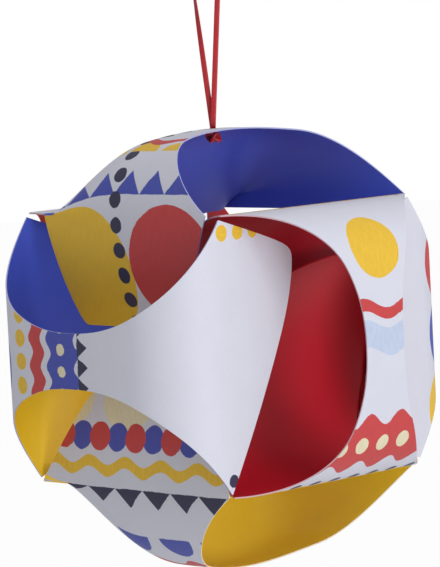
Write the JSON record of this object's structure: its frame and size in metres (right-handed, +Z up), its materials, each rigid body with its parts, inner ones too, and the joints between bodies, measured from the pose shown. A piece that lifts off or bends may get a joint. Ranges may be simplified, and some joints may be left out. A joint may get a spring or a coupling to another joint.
{
  "type": "folded paper bauble",
  "caption": "Hanging ball of bent card sheets tucked under each other, with hollow pockets and a ribbon loop to hang it by.",
  "frame": {"origin": "top of the hanging loop, where a hook or twig holds it", "axes": "+Z up, -Y towards the viewer, where the ball turns an upright corner line to the front"},
  "size_m": [0.1094, 0.1094, 0.165],
  "materials": {
    "sheet_top": "printed card, blue back",
    "sheet_bottom": "printed card, yellow back",
    "sheet_front_left": "printed card, blue and yellow back",
    "sheet_front_right": "printed card, red back",
    "sheet_back_right": "printed card, red back",
    "sheet_back_left": "printed card, red back",
    "ribbon_loop": "satin",
    "ribbon_knot": "satin"
  },
  "bodies": {
    "hanger": {"ribbon_loop": "ribbon_loop"},
    "knot": {"ribbon_knot": "ribbon_knot"},
    "ball": {"sheet_top": "sheet_top", "sheet_bottom": "sheet_bottom", "sheet_front_left": "sheet_front_left", "sheet_front_right": "sheet_front_right", "sheet_back_right": "sheet_back_right", "sheet_back_left": "sheet_back_left"}
  },
  "joints": [
    {"name": "spin", "type": "hinge", "parent": "hanger", "child": "knot", "pos_m": [0, 0, -0.052], "axis": [0, 0, 1], "continuous": true},
    {"name": "swing", "type": "hinge", "parent": "knot", "child": "ball", "pos_m": [0, 0, -0.052], "axis": [1, 0, 0], "range_deg": [-4, 4]}
  ]
}
